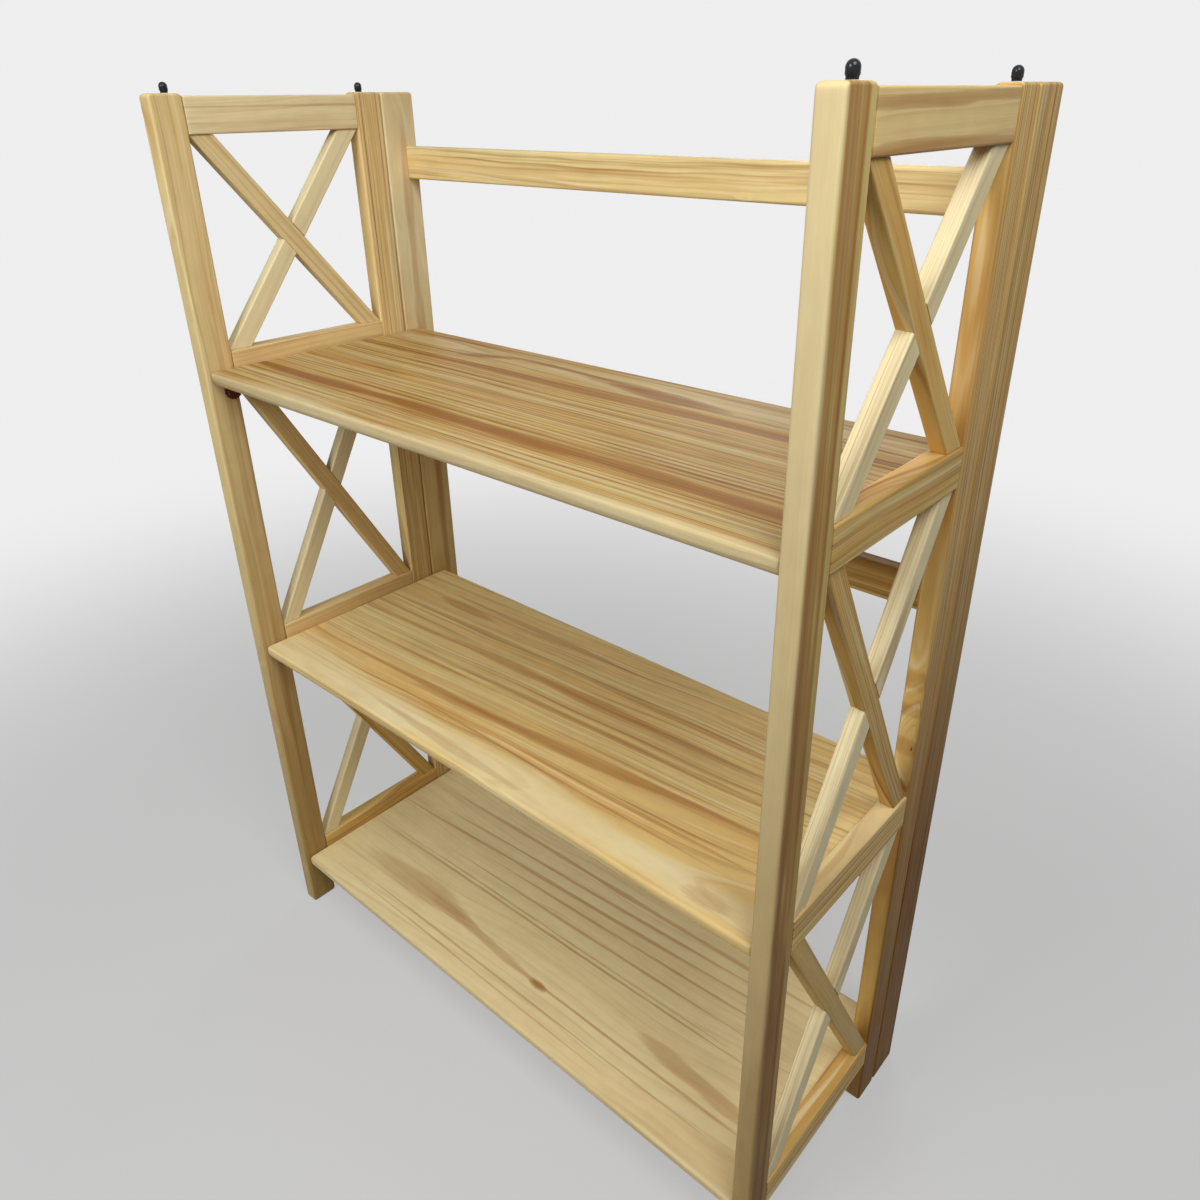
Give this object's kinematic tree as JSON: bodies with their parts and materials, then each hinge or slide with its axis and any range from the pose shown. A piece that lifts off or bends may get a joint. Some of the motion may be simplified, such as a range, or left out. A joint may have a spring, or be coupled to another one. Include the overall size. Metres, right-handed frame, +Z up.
{
  "type": "folding bookcase",
  "caption": "Folding bookcase of clear pine: side frames with crossed braces, a hinged back frame, shelves that tip up on rear pivots, rest pins and stacking pegs.",
  "frame": {"origin": "on the floor, under the middle of the bookcase's width and depth", "axes": "+X to the right of a person facing the open front, +Y from the front to the back frame, +Z up"},
  "size_m": [0.7, 0.2888, 0.9663],
  "materials": {
    "pale_pine": "satin clear lacquer",
    "warm_pine": "satin clear lacquer",
    "black_plastic": "glossy",
    "bronzed_steel": "dark bronzed",
    "plain_steel": "satin",
    "brass": "satin"
  },
  "bodies": {
    "frame": {"bottom_back_rail": "pale_pine", "left_bottom_falling_brace": "pale_pine", "left_bottom_pivot_pin": "plain_steel", "left_bottom_rail": "warm_pine", "left_bottom_rest_pin": "bronzed_steel", "left_bottom_rising_brace": "pale_pine", "left_front_peg": "black_plastic", "left_front_post": "pale_pine", "left_lower_hinge_post_half": "brass", "left_lower_hinge_stile_half": "brass", "left_lower_rail": "warm_pine", "left_middle_falling_brace": "pale_pine", "left_middle_pivot_pin": "plain_steel", "left_middle_rest_pin": "bronzed_steel", "left_middle_rising_brace": "pale_pine", "left_rear_peg": "black_plastic", "left_rear_post": "warm_pine", "left_stile": "warm_pine", "left_top_falling_brace": "pale_pine", "left_top_pivot_pin": "plain_steel", "left_top_rail": "warm_pine", "left_top_rest_pin": "bronzed_steel", "left_top_rising_brace": "pale_pine", "left_upper_hinge_post_half": "brass", "left_upper_hinge_stile_half": "brass", "left_upper_rail": "warm_pine", "middle_back_rail": "pale_pine", "right_bottom_falling_brace": "pale_pine", "right_bottom_pivot_pin": "plain_steel", "right_bottom_rail": "warm_pine", "right_bottom_rest_pin": "bronzed_steel", "right_bottom_rising_brace": "pale_pine", "right_front_peg": "black_plastic", "right_front_post": "pale_pine", "right_lower_hinge_post_half": "brass", "right_lower_hinge_stile_half": "brass", "right_lower_rail": "warm_pine", "right_middle_falling_brace": "pale_pine", "right_middle_pivot_pin": "plain_steel", "right_middle_rest_pin": "bronzed_steel", "right_middle_rising_brace": "pale_pine", "right_rear_peg": "black_plastic", "right_rear_post": "warm_pine", "right_stile": "warm_pine", "right_top_falling_brace": "pale_pine", "right_top_pivot_pin": "plain_steel", "right_top_rail": "warm_pine", "right_top_rest_pin": "bronzed_steel", "right_top_rising_brace": "pale_pine", "right_upper_hinge_post_half": "brass", "right_upper_hinge_stile_half": "brass", "right_upper_rail": "warm_pine", "top_back_rail": "pale_pine"},
    "top_shelf": {"top_shelf": "pale_pine"},
    "middle_shelf": {"middle_shelf": "pale_pine"},
    "bottom_shelf": {"bottom_shelf": "pale_pine"}
  },
  "joints": [
    {"name": "top_shelf_pivot", "type": "hinge", "parent": "frame", "child": "top_shelf", "pos_m": [0, 0.11475, 0.70275], "axis": [-1, 0, 0], "range_deg": [0, 90]},
    {"name": "middle_shelf_pivot", "type": "hinge", "parent": "frame", "child": "middle_shelf", "pos_m": [0, 0.11475, 0.38525], "axis": [-1, 0, 0], "range_deg": [0, 90]},
    {"name": "bottom_shelf_pivot", "type": "hinge", "parent": "frame", "child": "bottom_shelf", "pos_m": [0, 0.11475, 0.06775], "axis": [-1, 0, 0], "range_deg": [0, 90]}
  ]
}
